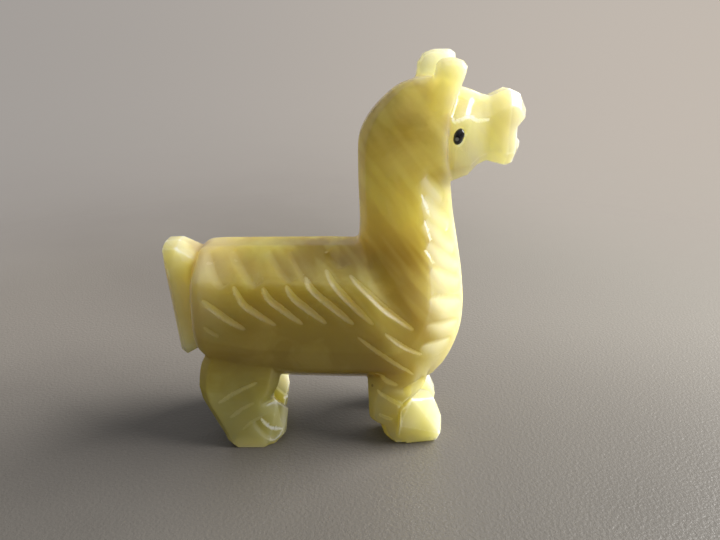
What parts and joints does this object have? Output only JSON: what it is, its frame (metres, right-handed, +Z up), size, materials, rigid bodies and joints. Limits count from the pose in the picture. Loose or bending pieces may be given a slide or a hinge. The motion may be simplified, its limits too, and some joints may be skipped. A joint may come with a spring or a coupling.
{
  "type": "inca llama figure",
  "caption": "Small carved and polished stone llama standing on its legs, with wheel-cut wool strokes, a hanging tail, upright ears and inlaid bead eyes.",
  "frame": {"origin": "centre of the bounding box on the plane of the soles", "axes": "+Z up, +X towards the muzzle, +Y towards the llama's left side"},
  "size_m": [0.0638, 0.022, 0.0705],
  "materials": {
    "stone": "polished, translucent honey green",
    "bead": "glossy black"
  },
  "bodies": {
    "root": {"llama": "stone", "eye_right": "bead", "eye_left": "bead"}
  },
  "joints": []
}
